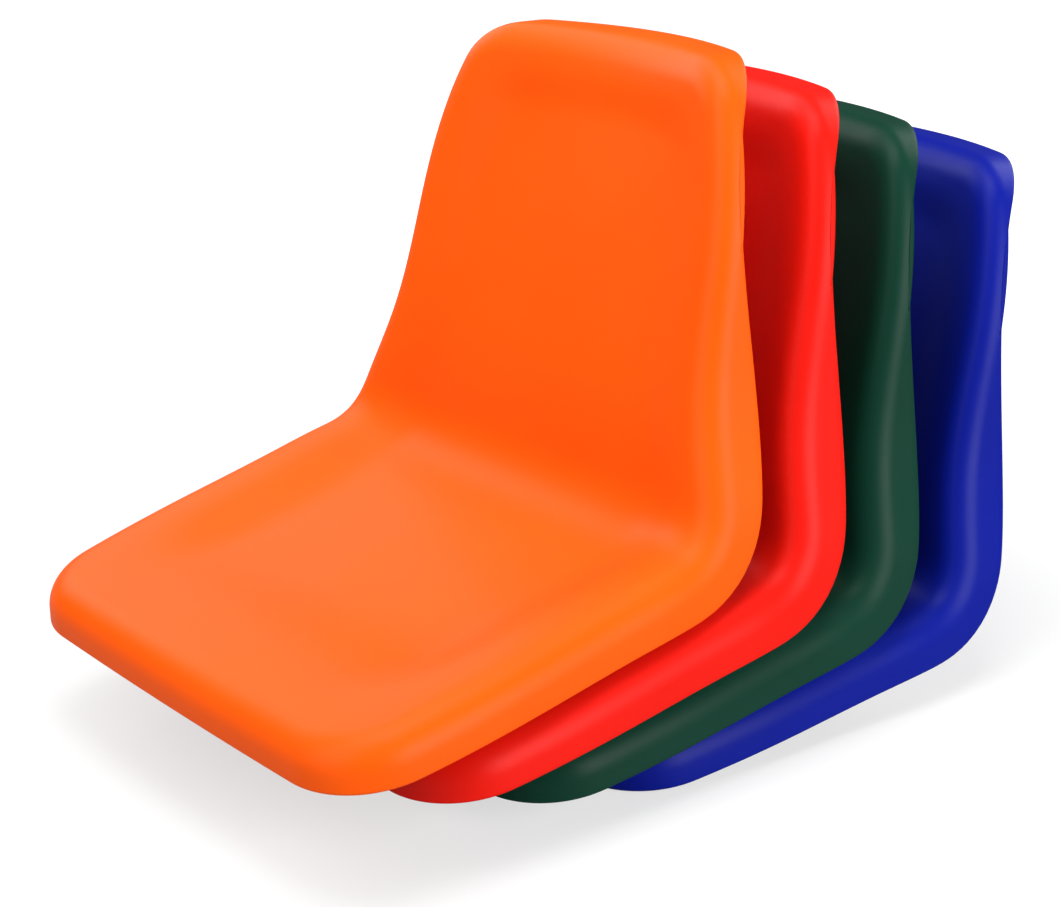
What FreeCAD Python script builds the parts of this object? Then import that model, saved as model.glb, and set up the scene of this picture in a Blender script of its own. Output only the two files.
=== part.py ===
import FreeCAD, Part
import math
import os

from FreeCAD import Vector

os.makedirs("parts", exist_ok=True)

# Four identical moulded seat shells, nested as one stack, each with four threaded inserts.
# Lengths are in millimetres and angles in degrees.
# Across the seat is X, the sitter's knees point to -Y, and Z is up.
# The bottom shell stands level on its four mounting bosses, and the origin is at the
# centre of that bolt pattern, on the face of the bosses.

# Side view of one shell, along the crest of its rolled rim
pan_length = 291.7
junction_radius = 46.0
junction_turn = 67.0
back_length = 306.6
bend_spread = 1.4

# Places along the pan and along the back where the rim is measured, as shares of their lengths
pan_share = 0.45
hip_share = 0.8
low_back_share = 0.2
mid_back_share = 0.55

# Half widths of the rim's outer edge, from the front edge to the top edge
front_half_width = 200.9
pan_half_width = 215.3
hip_half_width = 218.3
junction_half_width = 217.3
low_back_half_width = 189.9
mid_back_half_width = 170.8
top_half_width = 129.5

# Depths of the rolled rim below its crest, at the same places
front_rim_depth = 31.5
pan_rim_depth = 34.6
hip_rim_depth = 36.6
junction_rim_depth = 39.7
low_back_rim_depth = 44.5
mid_back_rim_depth = 22.8
top_rim_depth = 46.3

# Outline corners, and the bow of the front and top edges
front_corner_radius = 65.0
top_corner_radius = 56.7
front_bow = 3.0
top_arch = 7.5

# Section of the shell
wall = 4.0
roll_radius = 25.0
rim_draft = 10.0

# Hollows of the sitting face, below the crest of the rim, and how far in front of the
# junction and behind it the pan's hollow turns into the back's
pan_hollow = 15.0
back_hollow = 5.0
pan_side_blend = 78.0
back_side_blend = 60.0
front_blend = 150.0
top_blend = 46.0
shallow_from = 85.0
shallow_to = 90.0
back_cup = 30.0
cup_softness = 0.3

# Mounting bosses, their inserts and the ribs between them
boss_spacing_x = 180.0
boss_spacing_y = 150.0
boss_front = -66.0
front_boss_reach = 36.6
rear_boss_reach = 56.1
boss_foot_radius = 14.0
boss_draft = 1.5
insert_radius = 6.0
insert_length = 16.0
insert_groove_width = 3.0
insert_groove_depth = 0.8
thread_bore_radius = 3.4
bore_spare_depth = 2.0
root_depth = 1.0
rib_thickness = 3.0
rib_height = 10.0
rib_end_gap = 8.0
long_rib_length = 272.0

# Nesting: how each shell lies, seen from the shell above it. Aside and back are in
# millimetres, turn and nose_up in degrees. The height comes from the lowest boss above it.
nest_clearance = 0.35
top_shell = "orange"
nest_steps = [
    {"shell": "red", "aside": 11.0, "back": 67.7, "turn": -1.5, "nose_up": 0.72},
    {"shell": "green", "aside": 0.9, "back": 72.1, "turn": -0.4, "nose_up": 0.92},
    {"shell": "blue", "aside": -1.0, "back": 90.4, "turn": -2.1, "nose_up": 1.72},
]

# How finely the curved faces are drawn
roll_steps = 9
run_steps = 3
lip_steps = 6
flat_steps = 14
corner_steps = 14
side_steps = 60
across_steps = 36
along_steps = 80
bend_steps = 32

junction_angle = math.radians(junction_turn)
draft_angle = math.radians(rim_draft)
junction_length = junction_radius * junction_angle
bend_length = bend_spread * junction_length
bend_start = pan_length + 0.5 * junction_length - 0.5 * bend_length
side_length = pan_length + junction_length + back_length
datum_from_front = 170.0
sew_tolerance = 0.02
surface_spare = 4.0
prism_depth = 120.0
foot_spokes = 12
nest_rounds = 12


def slope_at(s):
    """Slope of the crest's side view: level, then turning smoothly through the junction."""
    turned = min(max((s - bend_start) / bend_length, 0.0), 1.0)
    return junction_angle * (turned - math.sin(2 * math.pi * turned) / (2 * math.pi))


def side_view(s):
    """Point and slope of the crest's side view, s from the front edge."""
    y = min(s, bend_start)
    z = 0.0
    reach = min(s - bend_start, bend_length)
    if reach > 0:
        for step in range(bend_steps):
            slope = slope_at(bend_start + reach * (step + 0.5) / bend_steps)
            y += reach / bend_steps * math.cos(slope)
            z += reach / bend_steps * math.sin(slope)
    past = max(s - bend_start - bend_length, 0.0)
    y += past * math.cos(junction_angle)
    z += past * math.sin(junction_angle)
    return y, z, slope_at(s)


def rim_stations():
    """Place along the side, half width and rim depth at each station of the outline."""
    back_start = pan_length + junction_length
    return [
        Vector(0, front_half_width, front_rim_depth),
        Vector(pan_share * pan_length, pan_half_width, pan_rim_depth),
        Vector(hip_share * pan_length, hip_half_width, hip_rim_depth),
        Vector(pan_length + 0.5 * junction_length, junction_half_width, junction_rim_depth),
        Vector(back_start + low_back_share * back_length, low_back_half_width, low_back_rim_depth),
        Vector(back_start + mid_back_share * back_length, mid_back_half_width, mid_back_rim_depth),
        Vector(side_length, top_half_width, top_rim_depth),
    ]


rim_curve = Part.BSplineCurve()
rim_curve.interpolate(Points=rim_stations(), Parameters=[station.x for station in rim_stations()])


def rim_at(s):
    """Half width and rim depth at s."""
    point = rim_curve.value(min(max(s, 0.0), side_length))
    return point.y, point.z


def rim_run(depth):
    """Length of the rim's straight run below the roll, and the crest's inset from the edge."""
    run = (depth - wall / 2 - roll_radius * (1 - math.sin(draft_angle))) / math.cos(draft_angle)
    inset = roll_radius * math.cos(draft_angle) + run * math.sin(draft_angle)
    return run, inset


def ease(t):
    """Smooth step from 0 to 1."""
    t = min(max(t, 0.0), 1.0)
    return t * t * t * (10 - 15 * t + 6 * t * t)


def cup(x, s):
    """How far the back is set behind its side edges, growing towards the top."""
    start = pan_length + 0.5 * junction_length
    along = (s - start) / (side_length - start)
    along = max(along, 0.0)
    grown = along * along / (2 * cup_softness) if along < cup_softness else along - cup_softness / 2
    half_width = rim_at(s)[0]
    return back_cup * grown / (1 - cup_softness / 2) * (1 - (x / half_width) ** 2)


def hollow(x, s):
    """Depth of the sitting face below the crest of the rim."""
    half_width, depth = rim_at(s)
    start = pan_length - shallow_from
    share = ease((s - start) / (shallow_from + junction_length + shallow_to))
    deep = pan_hollow + (back_hollow - pan_hollow) * share
    side_blend = pan_side_blend + (back_side_blend - pan_side_blend) * share
    from_side = half_width - rim_run(depth)[1] - abs(x)
    from_front = s - rim_run(front_rim_depth)[1] - front_bow * (x / front_half_width) ** 2
    from_top = side_length - s - rim_run(top_rim_depth)[1] - top_arch * (x / top_half_width) ** 2
    return deep * ease(from_side / side_blend) * ease(from_front / front_blend) * ease(from_top / top_blend)


def on_shell(x, s, lift):
    """Point of the shell: x across, s along the side view, lift out of the crest's face."""
    y, z, slope = side_view(s)
    out = lift - cup(x, s)
    return Vector(x, y - out * math.sin(slope) - datum_from_front, z + out * math.cos(slope))


def bowed_edge(half_width, start_s, rise):
    """Half of a gently curved end edge of the flat outline."""
    radius = (half_width ** 2 + rise ** 2) / (2 * abs(rise))
    half_turn = 0.5 * math.asin(half_width / radius)
    middle = Vector(radius * math.sin(half_turn), start_s, 0)
    middle.y += math.copysign(radius * (1 - math.cos(half_turn)), rise)
    return Part.Arc(Vector(0, start_s, 0), middle, Vector(half_width, start_s + rise, 0)).toShape()


def flat_outline():
    """Points and inward directions round the right half of the rim, unrolled flat."""
    stations = rim_stations()
    knots = [Vector(station.y, station.x, 0) for station in stations]
    knots[0].y += front_bow
    knots[-1].y -= top_arch
    side_curve = Part.BSplineCurve()
    side_curve.interpolate(Points=knots, Parameters=[station.x for station in stations])
    front = bowed_edge(front_half_width, 0.0, front_bow)
    top = bowed_edge(top_half_width, side_length, -top_arch)
    middle = Part.makeLine(Vector(0, side_length, 0), Vector(0, 0, 0))
    plate = Part.Face(Part.Wire([front, side_curve.toShape(), top, middle])).extrude(Vector(0, 0, wall))
    for corner, radius in ((knots[0], front_corner_radius), (knots[-1], top_corner_radius)):
        upright = [edge for edge in plate.Edges
                   if all(math.hypot(end.X - corner.x, end.Y - corner.y) < 0.01 for end in edge.Vertexes)]
        plate = plate.makeFillet(radius, upright)
    base = min(plate.Faces, key=lambda face: face.CenterOfMass.z)
    edges = [edge for edge in base.Edges if edge.BoundBox.XMax > 1.0]
    edges.sort(key=lambda edge: math.atan2(edge.CenterOfMass.x, pan_length - edge.CenterOfMass.y))
    counts = [flat_steps, corner_steps, side_steps, corner_steps, flat_steps]
    outline = []
    last = Vector(0, 0, 0)
    for edge, count in zip(edges, counts):
        points = edge.discretize(Number=count + 1)
        if points[0].distanceToPoint(last) > points[-1].distanceToPoint(last):
            points.reverse()
        for point in points[1:] if outline else points:
            tangent = edge.tangentAt(edge.Curve.parameter(point))
            inward = Vector(-tangent.y, tangent.x, 0)
            if inward.dot(Vector(-point.x, pan_length - point.y, 0)) < 0:
                inward = inward.negative()
            outline.append((point, inward))
        last = points[-1]
    outline[0] = (outline[0][0], Vector(0, 1, 0))
    outline[-1] = (outline[-1][0], Vector(0, -1, 0))
    return outline


def spline_through(points, places):
    """Smooth curve that passes through each point at its place."""
    curve = Part.BSplineCurve()
    curve.interpolate(Points=points, Parameters=places)
    return curve


def surface_through(rows):
    """Smooth surface through a grid of points, whose edges depend on their own points alone."""
    down = [float(place) for place in range(len(rows))]
    across = [float(place) for place in range(len(rows[0]))]
    row_curves = [spline_through(row, across) for row in rows]
    columns = zip(*[curve.getPoles() for curve in row_curves])
    column_curves = [spline_through(list(column), down) for column in columns]
    poles = [list(line) for line in zip(*[curve.getPoles() for curve in column_curves])]
    surface = Part.BSplineSurface()
    surface.buildFromPolesMultsKnots(
        poles,
        column_curves[0].getMultiplicities(), row_curves[0].getMultiplicities(),
        column_curves[0].getKnots(), row_curves[0].getKnots(),
        False, False, column_curves[0].Degree, row_curves[0].Degree)
    return surface


def rim_section(depth):
    """Inset and lift along the rim's outer face, its rounded lip and its inner face."""
    run, inset = rim_run(depth)
    sweep = 0.5 * math.pi - draft_angle
    sides = []
    for radius in (roll_radius, roll_radius - wall):
        side = []
        for step in range(roll_steps + 1):
            turned = sweep * step / roll_steps
            side.append((inset - radius * math.sin(turned), radius * math.cos(turned) - roll_radius))
        start = side[-1]
        for step in range(1, run_steps + 1):
            along = run * step / run_steps
            side.append((start[0] - along * math.sin(draft_angle), start[1] - along * math.cos(draft_angle)))
        sides.append(side)
    outer, inner = sides
    middle_inset = 0.5 * (outer[-1][0] + inner[-1][0])
    middle_lift = 0.5 * (outer[-1][1] + inner[-1][1])
    lip = []
    for step in range(lip_steps + 1):
        turned = math.pi * step / lip_steps
        inwards = -0.5 * wall * math.cos(turned)
        downwards = 0.5 * wall * math.sin(turned)
        lip.append((middle_inset + inwards * math.cos(draft_angle) - downwards * math.sin(draft_angle),
                    middle_lift - inwards * math.sin(draft_angle) - downwards * math.cos(draft_angle)))
    return outer, lip, inner


def rim_strips(top_surface, under_surface):
    """Outer face, lip and inner face of the right half of the rim, starting on the two surfaces."""
    grids = [[], [], []]
    for point, inward in flat_outline():
        section = rim_section(rim_at(point.y)[1])
        for grid, places in zip(grids, section):
            row = []
            for inset, lift in places:
                x = max(point.x + inset * inward.x, 0.0)
                row.append(on_shell(x, point.y + inset * inward.y, lift))
            grid.append(row)
    for grid, surface in ((grids[0], top_surface), (grids[2], under_surface)):
        for row in grid:
            row[0] = surface.value(*surface.parameter(row[0]))
    return [surface_through(grid).toShape() for grid in grids]


def sitting_surface(sink, first_s, last_s):
    """Right half of the sitting face, sunk by sink, past the crest on every side."""
    rows = []
    for row in range(along_steps + 1):
        s = first_s + (last_s - first_s) * row / along_steps
        half_width = rim_at(s)[0]
        line = []
        for column in range(across_steps + 1):
            x = half_width * column / across_steps
            line.append(on_shell(x, s, -hollow(x, s) - sink))
        rows.append(line)
    return surface_through(rows)


def trimmed_face(surface, strip):
    """Part of the surface inside the strip's crest edge and right of the middle."""
    def drop(edge):
        point = edge.valueAt(0.5 * (edge.FirstParameter + edge.LastParameter))
        return surface.value(*surface.parameter(point)).distanceToPoint(point)

    crest = min((edge for edge in strip.Edges if edge.Length > side_length), key=drop)
    ends = [FreeCAD.Base.Vector2d(*surface.parameter(end.Point)) for end in crest.Vertexes]
    middle = Part.Geom2d.Line2dSegment(ends[1], ends[0]).toShape(surface)
    face = Part.Face(surface, Part.Wire([crest, middle]))
    face.fix(sew_tolerance, sew_tolerance, sew_tolerance)
    return face


def plain_shell():
    """The thin shell without its bosses and ribs, in the frame of its crest."""
    top_surface = sitting_surface(0.0, -surface_spare, side_length + surface_spare)
    under_surface = sitting_surface(wall, -surface_spare, side_length + surface_spare)
    strips = rim_strips(top_surface, under_surface)
    faces = strips + [trimmed_face(top_surface, strips[0]), trimmed_face(under_surface, strips[2])]
    mirrored = [face.mirror(Vector(0, 0, 0), Vector(1, 0, 0)) for face in faces]
    skin = Part.makeCompound(faces + mirrored)
    skin.sewShape(sew_tolerance)
    solid = Part.Solid(Part.Shell(skin.Faces))
    if solid.Volume < 0:
        solid.reverse()
    return solid


def foot_fall():
    """Fall of the boss faces' plane from front to rear, against the crest."""
    return math.asin((rear_boss_reach - front_boss_reach) / boss_spacing_y)


def standing_placement():
    """Moves a shell from the frame of its crest to stand on the faces of its bosses."""
    tilt = FreeCAD.Rotation(Vector(1, 0, 0), math.degrees(foot_fall()))
    along = boss_front + 0.5 * boss_spacing_y * math.cos(foot_fall())
    centre = tilt.multVec(Vector(0, along, -0.5 * (front_boss_reach + rear_boss_reach)))
    return FreeCAD.Placement(centre.negative(), tilt)


def foot_height(to_lower):
    """Least height of a shell's boss faces over the sitting face of the shell below."""
    from_standing = standing_placement().inverse()
    heights = []
    for centre in boss_places().values():
        for spoke in range(foot_spokes + 1):
            reach = boss_foot_radius if spoke else 0.0
            turned = 2 * math.pi * spoke / foot_spokes
            place = centre + Vector(reach * math.sin(turned), reach * math.cos(turned), 0)
            below = to_lower.multVec(from_standing.multVec(place))
            heights.append(below.z + hollow(below.x, below.y + datum_from_front))
    return min(heights)


def lie_of_next(step):
    """Placement of the shell below in the frame of the one above, whose lowest boss rests on it."""
    turn = FreeCAD.Rotation(Vector(0, 0, 1), step["turn"])
    tilt = FreeCAD.Rotation(Vector(1, 0, 0), -step["nose_up"])
    down = rear_boss_reach
    for _ in range(nest_rounds):
        lie = FreeCAD.Placement(Vector(step["aside"], step["back"], -down), turn.multiply(tilt))
        down -= foot_height(lie.inverse()) - nest_clearance
    return lie


def boss_places():
    """Centre of each boss's face on the standing shell, by the name of its corner."""
    places = {}
    for end, along in (("front", -0.5), ("rear", 0.5)):
        for side, across in (("right", -0.5), ("left", 0.5)):
            places[end + "_" + side] = Vector(across * boss_spacing_x, along * boss_spacing_y, 0)
    return places


def pan_prism(standing, sink):
    """Everything straight below the right half of the pan's face, sunk by sink."""
    face = sitting_surface(sink, -surface_spare, pan_length + junction_length).toShape()
    face.Placement = standing
    return face.extrude(Vector(0, 0, -prism_depth))


def boss_and_ribs(standing):
    """Bosses and ribs of the right half, grown down from inside the wall."""
    depth = prism_depth
    under_wall = pan_prism(standing, root_depth)
    below_ribs = pan_prism(standing, wall + rib_height)
    ribs = []
    half_x = 0.5 * boss_spacing_x
    half_y = 0.5 * boss_spacing_y
    long_start = -0.5 * pan_length + rib_end_gap
    long_rib = Part.makeBox(rib_thickness, long_rib_length, depth,
                            Vector(half_x - 0.5 * rib_thickness, long_start, 0))
    ribs.append(long_rib)
    for along in (-half_y, half_y):
        ribs.append(Part.makeBox(half_x, rib_thickness, depth, Vector(0, along - 0.5 * rib_thickness, 0)))
    grid = ribs[0].multiFuse(ribs[1:]).common(under_wall).cut(below_ribs)
    solids = list(grid.Solids)
    for along in (-half_y, half_y):
        root_radius = boss_foot_radius + depth * math.tan(math.radians(boss_draft))
        post = Part.makeCone(boss_foot_radius, root_radius, depth, Vector(half_x, along, 0))
        solids.append(post.common(under_wall).Solids[0])
    return solids


def seat_shell(standing):
    """One moulded shell with its bosses and ribs, standing on its bosses."""
    body = plain_shell()
    body.Placement = standing
    right = boss_and_ribs(standing)
    left = [solid.mirror(Vector(0, 0, 0), Vector(1, 0, 0)) for solid in right]
    body = body.multiFuse(right + left)
    bore_depth = insert_length + bore_spare_depth
    bores = [Part.makeCylinder(insert_radius, bore_depth, place) for place in boss_places().values()]
    return body.cut(bores).Solids[0]


def threaded_insert():
    """Knurled insert with its thread bore, standing on the boss's face."""
    sleeve = Part.makeCylinder(insert_radius, insert_length)
    ring = Part.makeCylinder(insert_radius, insert_groove_width)
    ring = ring.cut(Part.makeCylinder(insert_radius - insert_groove_depth, insert_groove_width))
    ring.translate(Vector(0, 0, 0.5 * (insert_length - insert_groove_width)))
    bore = Part.makeCylinder(thread_bore_radius, insert_length)
    return sleeve.cut(ring).cut(bore)


def nest():
    """Placement of each standing shell, from the bottom of the stack to the top."""
    standing = standing_placement()
    lie = FreeCAD.Placement()
    lies = {top_shell: lie}
    for step in nest_steps:
        lie = lie.multiply(lie_of_next(step))
        lies[step["shell"]] = lie
    bottom = lies[nest_steps[-1]["shell"]]
    return {name: standing.multiply(bottom.inverse()).multiply(lie).multiply(standing.inverse())
            for name, lie in lies.items()}


def main():
    standing = standing_placement()
    shell = seat_shell(standing)
    insert = threaded_insert()
    for colour, placement in nest().items():
        parts = {colour + "_shell": shell.copy()}
        for corner, place in boss_places().items():
            parts[colour + "_insert_" + corner] = insert.translated(place)
        for node, shape in parts.items():
            shape.Placement = placement.multiply(shape.Placement)
            shape.exportStep(os.path.join("parts", node + ".step"))


main()
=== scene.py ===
import math

import bmesh
import bpy
import numpy as np
from mathutils import Matrix, Vector


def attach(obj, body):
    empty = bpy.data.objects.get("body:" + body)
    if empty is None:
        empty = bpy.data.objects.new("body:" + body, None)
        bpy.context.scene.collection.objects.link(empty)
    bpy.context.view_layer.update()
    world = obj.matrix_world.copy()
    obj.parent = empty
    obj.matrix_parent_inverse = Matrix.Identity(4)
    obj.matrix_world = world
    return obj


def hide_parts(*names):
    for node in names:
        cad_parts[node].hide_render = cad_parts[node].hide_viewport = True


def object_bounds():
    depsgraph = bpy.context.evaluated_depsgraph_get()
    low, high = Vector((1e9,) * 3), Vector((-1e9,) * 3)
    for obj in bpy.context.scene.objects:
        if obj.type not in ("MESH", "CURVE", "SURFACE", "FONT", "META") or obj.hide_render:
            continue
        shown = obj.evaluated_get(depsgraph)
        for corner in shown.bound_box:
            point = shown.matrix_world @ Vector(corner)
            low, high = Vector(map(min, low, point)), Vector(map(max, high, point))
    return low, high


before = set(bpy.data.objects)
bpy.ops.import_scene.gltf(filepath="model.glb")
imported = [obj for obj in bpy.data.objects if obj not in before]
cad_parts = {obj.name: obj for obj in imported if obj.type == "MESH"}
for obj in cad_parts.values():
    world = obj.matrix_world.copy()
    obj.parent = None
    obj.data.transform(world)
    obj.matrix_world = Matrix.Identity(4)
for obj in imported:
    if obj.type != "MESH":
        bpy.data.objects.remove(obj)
rest_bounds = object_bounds()

# Four nested seat shells of moulded polypropylene.
# The shell is drawn in millimetres by the same rules as the solid part, then scaled to metres.
millimetre = 0.001

# Side view of one shell, along the crest of its rolled rim
pan_length = 291.7
junction_radius = 46.0
junction_turn = math.radians(67.0)
back_length = 306.6

# The bend from pan to back is spread over this many lengths of a plain round junction
bend_spread = 1.4

# Places along the pan and along the back where the rim is measured, as shares of their lengths
pan_share = 0.45
hip_share = 0.8
low_back_share = 0.2
mid_back_share = 0.55

# Half width and rim depth at each station, from the front edge to the top edge
half_widths = (200.9, 215.3, 218.3, 217.3, 189.9, 170.8, 129.5)
rim_depths = (31.5, 34.6, 36.6, 39.7, 44.5, 22.8, 46.3)

# Corners of the outline, and how far the front and top edges curve back at their ends
front_corner_radius = 65.0
top_corner_radius = 56.7
front_bow = 3.0
top_arch = 7.5

# Wall of the shell, and the roll and the draft of its rim
wall = 4.0
roll_radius = 25.0
rim_draft = math.radians(10.0)

# Hollow of the sitting face below the crest, and how far in from the crest it is fully deep
pan_hollow = 15.0
back_hollow = 5.0
pan_side_blend = 78.0
back_side_blend = 60.0
front_blend = 150.0
top_blend = 46.0

# How far before and after the junction the pan's hollow turns into the back's
shallow_from = 85.0
shallow_to = 90.0

# How far the middle of the top edge is set back behind its sides, and the share that starts softly
back_cup = 30.0
cup_softness = 0.3

# Bosses, inserts and ribs under the pan. A reach is from the crest's plane down to a boss's face.
boss_spacing_x = 180.0
boss_spacing_y = 150.0
boss_front = -66.0
front_boss_reach = 36.6
rear_boss_reach = 56.1
boss_foot_radius = 14.0
boss_draft = math.radians(1.5)
insert_radius = 6.0
insert_length = 16.0
rib_thickness = 3.0
rib_height = 10.0
rib_end_gap = 8.0
rib_sink = 1.0
long_rib_length = 272.0
edge_round = 0.7
root_fillet = 2.0

# Where the shell's own y is 0, along the pan from the front edge
datum_from_front = 170.0

# How finely the shell is meshed
flat_cells = 30
half_corner_cells = 12
side_cells = 130
roll_cells = 14
run_cells = 5
lip_cells = 8
boss_cells = 48
rib_cells = 90
fillet_cells = 4
weld_distance = 0.005

# How finely the curves behind the mesh are worked out, and how far past the shell's ends
side_points = 6001
side_spare = 10.0
under_points = 500
under_spare = 2.0
column_digits = 3

# Share of the side's length, from either end, in which the start of a corner is looked for
corner_search = 0.3
corner_points = 3001

junction_length = junction_radius * junction_turn
bend_length = bend_spread * junction_length
bend_start = pan_length + 0.5 * junction_length - 0.5 * bend_length
back_start = pan_length + junction_length
side_length = back_start + back_length
stations = np.array([
    0.0,
    pan_share * pan_length,
    hip_share * pan_length,
    pan_length + 0.5 * junction_length,
    back_start + low_back_share * back_length,
    back_start + mid_back_share * back_length,
    side_length,
])


def smooth_curve(places, values):
    """Function of place that passes smoothly through the values."""
    x = np.asarray(places, float)
    y = np.asarray(values, float)
    gap = np.diff(x)
    rate = np.diff(y) / gap
    count = len(x)
    system = np.eye(count)
    known = np.zeros(count)
    known[0] = np.polyfit(x[:4] - x[0], y[:4], 3)[2]
    known[-1] = np.polyfit(x[-4:] - x[-1], y[-4:], 3)[2]
    for i in range(1, count - 1):
        system[i, i - 1:i + 2] = gap[i], 2 * (gap[i - 1] + gap[i]), gap[i - 1]
        known[i] = 3 * (gap[i] * rate[i - 1] + gap[i - 1] * rate[i])
    slopes = np.linalg.solve(system, known)

    def value(place):
        place = np.clip(place, x[0], x[-1])
        i = np.clip(np.searchsorted(x, place, side="right") - 1, 0, count - 2)
        t = (place - x[i]) / gap[i]
        start = (1 + 2 * t) * (1 - t) ** 2 * y[i] + t * (1 - t) ** 2 * gap[i] * slopes[i]
        return start + t * t * (3 - 2 * t) * y[i + 1] + t * t * (t - 1) * gap[i] * slopes[i + 1]

    return value


half_width_at = smooth_curve(stations, half_widths)
rim_depth_at = smooth_curve(stations, rim_depths)


def slope_at(s):
    """Slope of the crest's side view: level, then turning smoothly through the junction."""
    turned = np.clip((s - bend_start) / bend_length, 0.0, 1.0)
    return junction_turn * (turned - np.sin(2 * math.pi * turned) / (2 * math.pi))


side_places = np.linspace(-side_spare, side_length + side_spare, side_points)
side_steps = np.diff(side_places)
side_slopes = slope_at(0.5 * (side_places[1:] + side_places[:-1]))
side_y = np.concatenate([[0.0], np.cumsum(side_steps * np.cos(side_slopes))]) - side_spare
side_z = np.concatenate([[0.0], np.cumsum(side_steps * np.sin(side_slopes))])


def ease(t):
    """Smooth step from 0 to 1."""
    t = np.clip(t, 0.0, 1.0)
    return t * t * t * (10 - 15 * t + 6 * t * t)


def rim_run(depth):
    """Length of the rim's straight run below the roll, and the crest's inset from the edge."""
    run = (depth - wall / 2 - roll_radius * (1 - math.sin(rim_draft))) / math.cos(rim_draft)
    return run, roll_radius * math.cos(rim_draft) + run * math.sin(rim_draft)


def cup(x, s):
    """How far the back is set behind its side edges, growing towards the top."""
    start = pan_length + 0.5 * junction_length
    along = np.maximum((s - start) / (side_length - start), 0.0)
    soft = along ** 2 / (2 * cup_softness)
    grown = np.where(along < cup_softness, soft, along - cup_softness / 2)
    return back_cup * grown / (1 - cup_softness / 2) * (1 - (x / half_width_at(s)) ** 2)


def hollow(x, s):
    """Depth of the sitting face below the crest of the rim."""
    start = pan_length - shallow_from
    share = ease((s - start) / (shallow_from + junction_length + shallow_to))
    deep = pan_hollow + (back_hollow - pan_hollow) * share
    side_blend = pan_side_blend + (back_side_blend - pan_side_blend) * share
    from_side = half_width_at(s) - rim_run(rim_depth_at(s))[1] - np.abs(x)
    from_front = s - rim_run(rim_depths[0])[1] - front_bow * (x / half_widths[0]) ** 2
    from_top = side_length - s - rim_run(rim_depths[-1])[1] - top_arch * (x / half_widths[-1]) ** 2
    sides = ease(from_side / side_blend)
    return deep * sides * ease(from_front / front_blend) * ease(from_top / top_blend)


def on_shell(x, s, lift):
    """Points of the shell: x across, s along the side view, lift out of the crest's face."""
    slope = slope_at(s)
    out = lift - cup(x, s)
    y = np.interp(s, side_places, side_y) - out * np.sin(slope) - datum_from_front
    z = np.interp(s, side_places, side_z) + out * np.cos(slope)
    return np.stack([x + 0.0 * s, y, z], axis=-1)


def rounded_corner(end_s, bow, radius, side, towards):
    """Where a corner's circle leaves the side, its centre, and where it meets the end edge."""
    first, last = (0.0, corner_search) if towards > 0 else (1.0, 1.0 - corner_search)
    t = side_length * np.linspace(first, last, corner_points)
    place, inward = side(t)
    centres = place + radius * inward
    width = half_widths[0] if towards > 0 else half_widths[-1]
    steep = 2 * bow * centres[:, 0] / width ** 2
    edge = end_s + bow * (centres[:, 0] / width) ** 2
    spare = towards * (centres[:, 1] - edge) / np.sqrt(1 + steep ** 2) - radius
    leave = t[np.argmax(spare > 0)]
    place, inward = side(np.array([leave]))
    centre = (place + radius * inward)[0]
    steep = 2 * bow * centre[0] / width ** 2
    foot = centre + radius * np.array([steep, -1.0]) * towards / math.hypot(steep, 1.0)
    return leave, centre, foot


def half_outline():
    """Points and inward directions of the rim's right half, unrolled flat, from front to top."""
    ends = stations.copy()
    ends[0] += front_bow
    ends[-1] -= top_arch
    side_s = smooth_curve(stations, ends)

    def side(t):
        point = np.stack([half_width_at(t), side_s(t)], axis=-1)
        step = 0.01
        ahead = np.stack([half_width_at(t + step), side_s(t + step)], axis=-1)
        behind = np.stack([half_width_at(t - step), side_s(t - step)], axis=-1)
        along = ahead - behind
        along /= np.linalg.norm(along, axis=-1, keepdims=True)
        return point, np.stack([-along[:, 1], along[:, 0]], axis=-1)

    front_leave, front_centre, front_foot = rounded_corner(
        0.0, front_bow, front_corner_radius, side, 1)
    top_leave, top_centre, top_foot = rounded_corner(
        side_length, -top_arch, top_corner_radius, side, -1)

    def bowed(start_s, bow, width, foot_x, towards):
        x = np.linspace(0.0, foot_x, flat_cells + 1)
        steep = 2 * bow * x / width ** 2
        long = np.sqrt(1 + steep ** 2)
        point = np.stack([x, start_s + bow * (x / width) ** 2], axis=-1)
        return point, towards * np.stack([-steep / long, 1 / long], axis=-1)

    def corner(centre, start, stop, radius):
        first = math.atan2(start[1] - centre[1], start[0] - centre[0])
        last = math.atan2(stop[1] - centre[1], stop[0] - centre[0])
        turned = np.linspace(first, last, 2 * half_corner_cells + 1)
        outward = np.stack([np.cos(turned), np.sin(turned)], axis=-1)
        return centre + radius * outward, -outward

    along_side = side(np.linspace(front_leave, top_leave, side_cells + 1))
    runs = [
        bowed(0.0, front_bow, half_widths[0], front_foot[0], 1),
        corner(front_centre, front_foot, along_side[0][0], front_corner_radius),
        along_side,
        corner(top_centre, along_side[0][-1], top_foot, top_corner_radius),
        [part[::-1] for part in bowed(side_length, -top_arch, half_widths[-1], top_foot[0], -1)],
    ]
    points = np.concatenate([runs[0][0]] + [run[0][1:] for run in runs[1:]])
    inwards = np.concatenate([runs[0][1]] + [run[1][1:] for run in runs[1:]])
    return points, inwards


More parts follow.
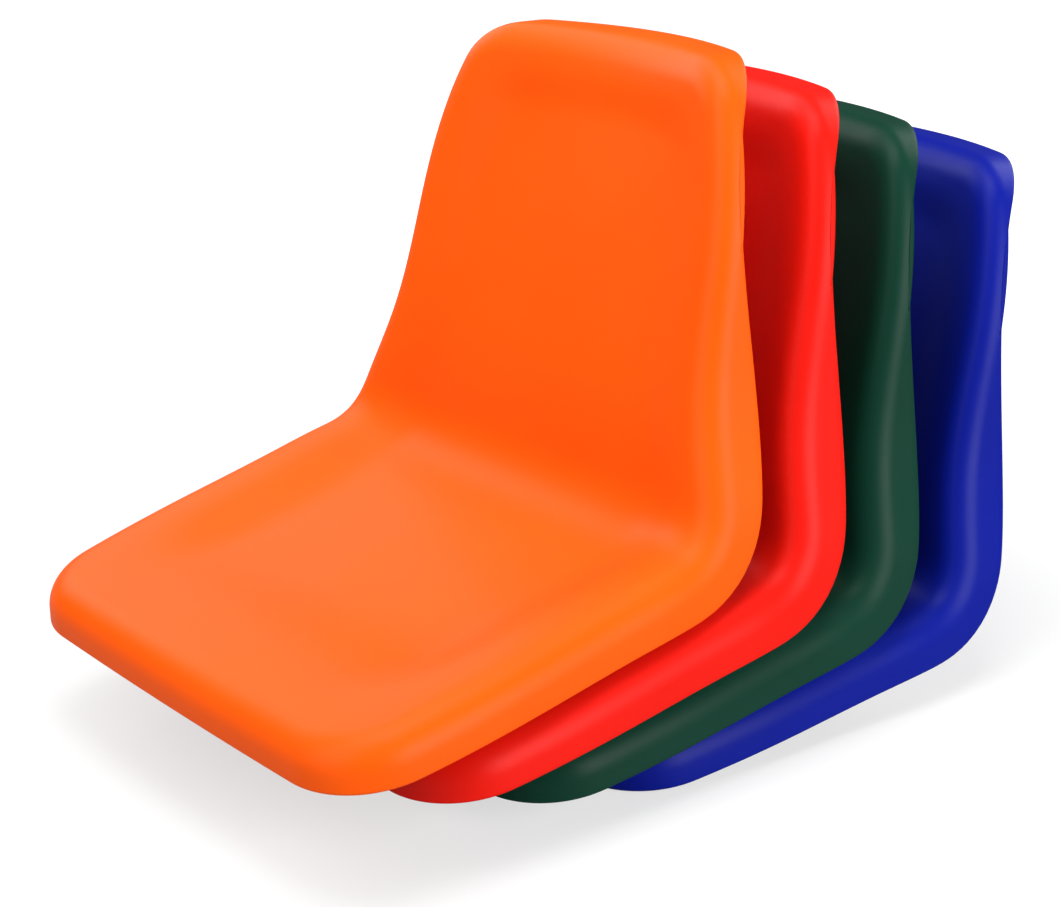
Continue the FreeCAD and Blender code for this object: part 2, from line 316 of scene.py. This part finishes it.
def rim_section(depth):
    """Insets and lifts from the crest round the rim's outer face, lip and inner face."""
    run, inset = rim_run(depth)
    turned = np.linspace(0.0, 0.5 * math.pi - rim_draft, roll_cells + 1)
    faces = []
    for radius in (roll_radius, roll_radius - wall):
        insets = inset - radius * np.sin(turned)
        roll = np.stack([insets, radius * np.cos(turned) - roll_radius], axis=-1)
        along = run * np.arange(1, run_cells + 1)[:, None] / run_cells
        straight = roll[-1] - along * np.array([math.sin(rim_draft), math.cos(rim_draft)])
        faces.append(np.concatenate([roll, straight]))
    outer, inner = faces
    middle = 0.5 * (outer[-1] + inner[-1])
    round_lip = np.arange(1, lip_cells)[:, None] * math.pi / lip_cells
    across = np.array([math.cos(rim_draft), -math.sin(rim_draft)])
    down = np.array([-math.sin(rim_draft), -math.cos(rim_draft)])
    lip = middle - 0.5 * wall * np.cos(round_lip) * across + 0.5 * wall * np.sin(round_lip) * down
    return np.concatenate([outer, lip, inner[::-1]])


def grid_faces(rows, columns, first, closed=False):
    """Quads of a grid of points numbered row by row. A closed grid joins its last row to its first."""
    faces = []
    for i in range(rows if closed else rows - 1):
        for j in range(columns - 1):
            a = first + i * columns + j
            b = first + ((i + 1) % rows) * columns + j
            faces.append((a, b, b + 1, a + 1))
    return faces


def add_grid(points, faces, grid, closed=False):
    """Adds a grid of points and its quads, and gives the number of its first point."""
    first = sum(len(part) for part in points)
    faces.extend(grid_faces(grid.shape[0], grid.shape[1], first, closed))
    points.append(grid.reshape(-1, 3))
    return first


def face_grid(crest, sink):
    """Even grid of points over the sitting face inside the crest, sunk by sink."""
    across = 2 * (flat_cells + half_corner_cells)
    start = flat_cells + half_corner_cells
    stop = start + side_cells + 2 * half_corner_cells
    flip = np.array([-1.0, 1.0])
    front = np.concatenate([crest[start:0:-1] * flip, crest[:start + 1]])
    right = crest[start:stop + 1]
    left = right * flip
    top = np.concatenate([crest[stop:-1] * flip, crest[:stop - 1:-1]])
    u = np.linspace(0.0, 1.0, across + 1)[None, :, None]
    v = np.linspace(0.0, 1.0, len(right))[:, None, None]
    flat = (1 - v) * front[None] + v * top[None] + (1 - u) * left[:, None] + u * right[:, None]
    flat -= (1 - v) * ((1 - u) * front[0] + u * front[-1]) + v * ((1 - u) * top[0] + u * top[-1])
    x = flat[..., 0]
    s = flat[..., 1]
    return on_shell(x, s, -hollow(x, s) - sink)


def foot_fall():
    """Fall of the boss faces' plane from front to rear, against the crest."""
    return math.asin((rear_boss_reach - front_boss_reach) / boss_spacing_y)


def standing_matrix():
    """Moves a shell from the frame of its crest to stand on the faces of its bosses."""
    tilt = Matrix.Rotation(foot_fall(), 4, "X")
    along = boss_front + 0.5 * boss_spacing_y * math.cos(foot_fall())
    centre = tilt @ Vector((0.0, along, -0.5 * (front_boss_reach + rear_boss_reach)))
    return Matrix.Translation(-centre) @ tilt


def moved(points, matrix):
    """Points carried by a matrix."""
    m = np.array(matrix)
    return points @ m[:3, :3].T + m[:3, 3]


def under_height(x, y):
    """Height of the under face of the standing pan at x, y, one column of equal x at a time."""
    s = np.linspace(-under_spare, pan_length + junction_length, under_points)
    heights = np.empty(len(x))
    for place in np.unique(x):
        line = on_shell(np.full(len(s), place), s, -hollow(place, s) - wall)
        line = moved(line, standing_matrix())
        here = x == place
        heights[here] = np.interp(y[here], line[:, 1], line[:, 2])
    return heights


def boss_points(centre_x, centre_y):
    """Rows of points round one boss, from the edge of its insert out, up and into the wall."""
    turned = np.linspace(0.0, 2 * math.pi, boss_cells, endpoint=False)
    round_turn = np.linspace(0.0, 0.5 * math.pi, fillet_cells + 1)
    rows = []

    def circle(radius):
        x = np.round(centre_x + radius * np.cos(turned), column_digits)
        return x, centre_y + radius * np.sin(turned)

    def level_ring(radius, height):
        x, y = circle(radius)
        rows.append(np.stack([x, y, np.full(len(x), height)], axis=-1))

    def wall_ring(radius, rise):
        x, y = circle(radius)
        rows.append(np.stack([x, y, under_height(x, y) + rise], axis=-1))

    level_ring(insert_radius, 0.0)
    for turn in round_turn:
        radius = boss_foot_radius - edge_round * (1 - math.sin(turn))
        level_ring(radius, edge_round * (1 - math.cos(turn)))
    boss_height = float(np.mean(under_height(*circle(boss_foot_radius))))
    root_radius = boss_foot_radius + boss_height * math.tan(boss_draft)
    for turn in round_turn:
        radius = root_radius + root_fillet * (1 - math.cos(turn))
        wall_ring(radius, -root_fillet * (1 - math.sin(turn)))
    wall_ring(boss_foot_radius, 0.5 * wall)
    return np.stack(rows, axis=1)


def rib_points(start, stop):
    """Rows of points along a rib under the pan, from one root over its edge to the other."""
    start = np.array(start)
    ahead = np.array(stop) - start
    line = start + np.linspace(0.0, 1.0, rib_cells + 1)[:, None] * ahead
    across = np.array([-ahead[1], ahead[0]]) / np.linalg.norm(ahead)
    round_turn = np.linspace(0.0, 0.5 * math.pi, fillet_cells + 1)
    half = 0.5 * rib_thickness
    profile = [(half + root_fillet, -rib_sink)]
    for turn in round_turn:
        profile.append((half + root_fillet * (1 - math.sin(turn)), root_fillet * (1 - math.cos(turn))))
    for turn in round_turn:
        aside = half - edge_round * (1 - math.cos(turn))
        profile.append((aside, rib_height - edge_round * (1 - math.sin(turn))))
    profile += [(-aside, depth) for aside, depth in reversed(profile)]
    root = under_height(np.round(line[:, 0], column_digits), line[:, 1])
    rows = []
    for aside, depth in profile:
        x = line[:, 0] + aside * across[0]
        y = line[:, 1] + aside * across[1]
        rows.append(np.stack([x, y, root - depth], axis=-1))
    return np.stack(rows, axis=1)


def add_ribs_and_bosses(points, faces):
    """Adds the bosses and ribs of one standing shell to its points and faces."""
    half_x = 0.5 * boss_spacing_x
    half_y = 0.5 * boss_spacing_y
    long_start = -0.5 * pan_length + rib_end_gap
    long_stop = long_start + long_rib_length
    ribs = [((side * half_x, long_start), (side * half_x, long_stop)) for side in (-1, 1)]
    ribs += [((-half_x, along), (half_x, along)) for along in (-half_y, half_y)]
    for start, stop in ribs:
        grid = rib_points(start, stop)
        rows, columns = grid.shape[:2]
        first = add_grid(points, faces, grid)
        for end in (first, first + (rows - 1) * columns):
            faces.append(tuple(range(end, end + columns)))
    for side in (-1, 1):
        for along in (-half_y, half_y):
            add_grid(points, faces, boss_points(side * half_x, along), closed=True)


def shell_mesh(name):
    """Mesh of one standing shell, in metres."""
    outline, inwards = half_outline()
    crest = []
    strip = []
    for point, inward, depth in zip(outline, inwards, rim_depth_at(outline[:, 1])):
        section = rim_section(depth)
        crest.append(point + section[0, 0] * inward)
        x = np.maximum(point[0] + section[:, 0] * inward[0], 0.0)
        s = point[1] + section[:, 0] * inward[1]
        strip.append(on_shell(x, s, section[:, 1]))
    crest = np.array(crest)
    strip = np.array(strip)
    mirrored = strip[-2:0:-1] * np.array([-1.0, 1.0, 1.0])
    standing = standing_matrix()
    points = []
    faces = []
    add_grid(points, faces, moved(np.concatenate([strip, mirrored]), standing), closed=True)
    add_grid(points, faces, moved(face_grid(crest, 0.0), standing))
    add_grid(points, faces, moved(face_grid(crest, wall), standing))
    add_ribs_and_bosses(points, faces)
    mesh = bpy.data.meshes.new(name)
    mesh.from_pydata(np.concatenate(points).tolist(), [], faces)
    work = bmesh.new()
    work.from_mesh(mesh)
    bmesh.ops.remove_doubles(work, verts=work.verts, dist=weld_distance)
    bmesh.ops.recalc_face_normals(work, faces=work.faces)
    work.to_mesh(mesh)
    work.free()
    mesh.transform(Matrix.Scale(millimetre, 4))
    mesh.shade_smooth()
    return mesh


def insert_centres(colour):
    """Centres of the four threaded inserts of one shell, in metres."""
    centres = []
    for corner in ("front_right", "front_left", "rear_right", "rear_left"):
        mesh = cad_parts[colour + "_insert_" + corner].data
        places = np.empty(3 * len(mesh.vertices))
        mesh.vertices.foreach_get("co", places)
        centres.append(places.reshape(-1, 3).mean(axis=0))
    return np.array(centres)


def lie_of(colour):
    """Where one shell lies in the stack: the turn and shift that fit its four inserts best."""
    half_x = 0.5 * boss_spacing_x * millimetre
    half_y = 0.5 * boss_spacing_y * millimetre
    height = 0.5 * insert_length * millimetre
    home = np.array([(x, y, height) for y in (-half_y, half_y) for x in (-half_x, half_x)])
    there = insert_centres(colour)
    turned, _, spread = np.linalg.svd((home - home.mean(axis=0)).T @ (there - there.mean(axis=0)))
    upright = np.diag([1.0, 1.0, np.sign(np.linalg.det(spread.T @ turned.T))])
    rotation = spread.T @ upright @ turned.T
    matrix = Matrix(rotation.tolist()).to_4x4()
    matrix.translation = Vector(there.mean(axis=0) - rotation @ home.mean(axis=0))
    return matrix


# Noise of the finishes, in features per metre, and the middle part of its values that is used
patch_scale = 9.0
speckle_scale = 900.0
grain_scale = 1500.0
swell_scale = 30.0
tarnish_scale = 240.0
turning_scale = 2500.0
noise_low = 0.3
noise_high = 0.7

# Gloss of the plastic
plastic_roughness = 0.42
roughness_spread = 0.03
plastic_specular = 0.1

# Heights in metres of the plastic's grain and flow marks and of the brass's turning marks
grain_height = 0.0003
swell_height = 0.002
turning_height = 0.0002

white = (1.0, 1.0, 1.0, 1.0)


def linear(red, green, blue):
    """Colour from screen values of 0 to 255."""
    shares = [c / 255 for c in (red, green, blue)]
    return tuple(((c + 0.055) / 1.055) ** 2.4 if c > 0.04045 else c / 12.92 for c in shares) + (1.0,)


def add(tree, kind, **settings):
    """Node with its settings."""
    node = tree.nodes.new(kind)
    for key, value in settings.items():
        setattr(node, key, value)
    return node


def new_material(name):
    """Material, its tree and its main shader."""
    material = bpy.data.materials.new(name)
    material.use_nodes = True
    return material, material.node_tree, material.node_tree.nodes["Principled BSDF"]


def noise(tree, place, scale, detail, roughness=0.5):
    """Noise in object space, with features of 1 / scale metres."""
    node = add(tree, "ShaderNodeTexNoise")
    node.inputs["Scale"].default_value = scale
    node.inputs["Detail"].default_value = detail
    node.inputs["Roughness"].default_value = roughness
    tree.links.new(place, node.inputs["Vector"])
    return node.outputs["Fac"]


def ranged(tree, value, low, high):
    """The used part of a noise spread between low and high."""
    node = add(tree, "ShaderNodeMapRange")
    node.inputs["From Min"].default_value = noise_low
    node.inputs["From Max"].default_value = noise_high
    node.inputs["To Min"].default_value = low
    node.inputs["To Max"].default_value = high
    tree.links.new(value, node.inputs["Value"])
    return node.outputs["Result"]


def bump(tree, height, strength, distance):
    """Bump node that takes its height from a noise."""
    node = add(tree, "ShaderNodeBump")
    node.inputs["Strength"].default_value = strength
    node.inputs["Distance"].default_value = distance
    tree.links.new(height, node.inputs["Height"])
    return node


def plastic(name, colour):
    """Moulded polypropylene: fine grain, faint flow marks and a few dull patches."""
    material, tree, shader = new_material(name)
    place = add(tree, "ShaderNodeTexCoord").outputs["Object"]
    patches = noise(tree, place, patch_scale, detail=3.0)
    speckle = noise(tree, place, speckle_scale, detail=2.0)
    grain = noise(tree, place, grain_scale, detail=3.0, roughness=0.6)
    swell = noise(tree, place, swell_scale, detail=2.0)
    tint = add(tree, "ShaderNodeMix", data_type="RGBA", blend_type="MULTIPLY")
    tint.inputs["Factor"].default_value = 1.0
    tint.inputs["A"].default_value = colour
    shade = add(tree, "ShaderNodeMath", operation="MULTIPLY")
    tree.links.new(ranged(tree, patches, 0.97, 1.03), shade.inputs[0])
    tree.links.new(ranged(tree, speckle, 0.985, 1.015), shade.inputs[1])
    tree.links.new(shade.outputs[0], tint.inputs["B"])
    tree.links.new(tint.outputs["Result"], shader.inputs["Base Color"])
    smoothest = plastic_roughness - roughness_spread
    dullest = plastic_roughness + roughness_spread
    tree.links.new(ranged(tree, patches, smoothest, dullest), shader.inputs["Roughness"])
    shader.inputs["Specular IOR Level"].default_value = plastic_specular
    fine = bump(tree, grain, strength=0.12, distance=grain_height)
    broad = bump(tree, swell, strength=0.05, distance=swell_height)
    tree.links.new(fine.outputs["Normal"], broad.inputs["Normal"])
    tree.links.new(broad.outputs["Normal"], shader.inputs["Normal"])
    return material


def brass(name):
    """Machined brass with turning marks and a little tarnish."""
    material, tree, shader = new_material(name)
    place = add(tree, "ShaderNodeTexCoord").outputs["Object"]
    patches = noise(tree, place, tarnish_scale, detail=4.0)
    tint = add(tree, "ShaderNodeMix", data_type="RGBA")
    tint.inputs["A"].default_value = linear(150, 118, 62)
    tint.inputs["B"].default_value = linear(205, 172, 105)
    tree.links.new(patches, tint.inputs["Factor"])
    tree.links.new(tint.outputs["Result"], shader.inputs["Base Color"])
    tree.links.new(ranged(tree, patches, 0.28, 0.42), shader.inputs["Roughness"])
    shader.inputs["Metallic"].default_value = 1.0
    turning = noise(tree, place, turning_scale, detail=2.0)
    marks = bump(tree, turning, strength=0.2, distance=turning_height)
    tree.links.new(marks.outputs["Normal"], shader.inputs["Normal"])
    return material


def new_object(name, data):
    """Object of the scene with its data."""
    item = bpy.data.objects.new(name, data)
    bpy.context.scene.collection.objects.link(item)
    return item


plastics = {
    "orange": plastic("orange_plastic", linear(252, 90, 6)),
    "red": plastic("red_plastic", linear(228, 24, 12)),
    "green": plastic("green_plastic", linear(13, 57, 43)),
    "blue": plastic("blue_plastic", linear(10, 26, 142)),
}
brass_finish = brass("insert_brass")

shell = shell_mesh("shell")
for colour, material in plastics.items():
    piece = new_object(colour + "_seat_shell", shell.copy())
    piece.data.transform(lie_of(colour))
    piece.data.materials.append(material)
    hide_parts(colour + "_shell")
    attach(piece, colour + "_seat")
for node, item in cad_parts.items():
    if "_insert_" in node:
        item.data.materials.clear()
        item.data.materials.append(brass_finish)

# Floor, just under the lowest point of the stack. What the camera sees of it glows up to plain
# white far from the stack, and less near it, so that the stack's soft shadow shows.
floor_reach = 6.0
floor_gap = 0.0005
shadow_reach = 0.45
white_reach = 1.1
glow_near = 0.62
glow_far = 1.0


def floor_white(name):
    """Pale matt floor whose glow for the camera grows with the distance from the stack."""
    material, tree, shader = new_material(name)
    shader.inputs["Base Color"].default_value = (0.35, 0.35, 0.35, 1.0)
    shader.inputs["Roughness"].default_value = 0.9
    shader.inputs["Specular IOR Level"].default_value = 0.0
    shader.inputs["Emission Color"].default_value = white
    place = add(tree, "ShaderNodeTexCoord").outputs["Object"]
    distance = add(tree, "ShaderNodeVectorMath", operation="LENGTH")
    tree.links.new(place, distance.inputs[0])
    fade = add(tree, "ShaderNodeMapRange", interpolation_type="SMOOTHSTEP")
    fade.inputs["From Min"].default_value = shadow_reach
    fade.inputs["From Max"].default_value = white_reach
    fade.inputs["To Min"].default_value = glow_near
    fade.inputs["To Max"].default_value = glow_far
    tree.links.new(distance.outputs["Value"], fade.inputs["Value"])
    seen = add(tree, "ShaderNodeLightPath")
    glow = add(tree, "ShaderNodeMath", operation="MULTIPLY")
    tree.links.new(seen.outputs["Is Camera Ray"], glow.inputs[0])
    tree.links.new(fade.outputs["Result"], glow.inputs[1])
    tree.links.new(glow.outputs[0], shader.inputs["Emission Strength"])
    return material


corner_signs = ((-1, -1), (1, -1), (1, 1), (-1, 1))
floor_corners = [(floor_reach * x, floor_reach * y, 0.0) for x, y in corner_signs]
floor_mesh = bpy.data.meshes.new("floor")
floor_mesh.from_pydata(floor_corners, [], [(0, 1, 2, 3)])
floor_mesh.materials.append(floor_white("floor_white"))
floor = new_object("floor", floor_mesh)
floor.location.z = rest_bounds[0].z - floor_gap

# Camera, at the photograph's viewing angle
camera = new_object("camera", bpy.data.cameras.new("camera"))
camera.data.sensor_width = 36.0
camera.data.lens = 72.922
camera.data.clip_end = 50.0
azimuth = math.radians(53.3371)
elevation = math.radians(20.6545)
roll = math.radians(-0.0885)
level = Vector((math.sin(azimuth), -math.cos(azimuth), 0.0))
backwards = math.cos(elevation) * level + Vector((0.0, 0.0, math.sin(elevation)))
rolled = Matrix.Rotation(roll, 3, "Z").to_quaternion()
camera.rotation_mode = "QUATERNION"
camera.rotation_quaternion = backwards.to_track_quat("Z", "Y") @ rolled
camera.location = (1.20445, -1.00417, 0.74278)
bpy.context.scene.camera = camera

# Middle of the stack, which every lamp is aimed at
stack_middle = Vector((0.0, -0.1, 0.2))


def lamp(name, place, width, height, watts):
    """Soft white lamp at place, aimed at the middle of the stack."""
    data = bpy.data.lights.new(name, "AREA")
    data.shape = "RECTANGLE"
    data.size = width
    data.size_y = height
    data.energy = watts
    item = new_object(name, data)
    item.location = place
    item.rotation_mode = "QUATERNION"
    item.rotation_quaternion = (Vector(place) - stack_middle).to_track_quat("Z", "Y")


lamp("overhead", (0.1, -0.3, 2.3), width=1.4, height=1.4, watts=34.0)
lamp("left_high", (-1.3, 0.0, 1.9), width=1.4, height=1.4, watts=10.0)
lamp("left", (-1.8, 0.2, 1.1), width=1.0, height=1.0, watts=5.0)
lamp("left_front", (-1.9, -0.7, 1.3), width=1.0, height=1.0, watts=11.0)
lamp("front_high", (0.2, -1.7, 1.9), width=1.4, height=1.2, watts=16.0)
lamp("front_low", (0.3, -2.2, 0.9), width=1.4, height=1.0, watts=12.0)
lamp("near_side", (2.1, 0.2, 0.8), width=1.2, height=1.2, watts=40.0)
lamp("back", (0.0, 2.0, 1.4), width=1.4, height=1.2, watts=20.0)

# World: a faint even light, and a plain white backdrop where the camera looks past the floor
world_light = 0.05
world = bpy.data.worlds.new("studio")
world.use_nodes = True
bpy.context.scene.world = world
world_tree = world.node_tree
light = world_tree.nodes["Background"]
light.inputs["Color"].default_value = white
light.inputs["Strength"].default_value = world_light
backdrop = add(world_tree, "ShaderNodeBackground")
backdrop.inputs["Color"].default_value = white
rays = add(world_tree, "ShaderNodeLightPath")
mix = add(world_tree, "ShaderNodeMixShader")
world_tree.links.new(rays.outputs["Is Camera Ray"], mix.inputs["Fac"])
world_tree.links.new(light.outputs["Background"], mix.inputs[1])
world_tree.links.new(backdrop.outputs["Background"], mix.inputs[2])
world_tree.links.new(mix.outputs["Shader"], world_tree.nodes["World Output"].inputs["Surface"])

bpy.context.scene.view_settings.view_transform = "Standard"
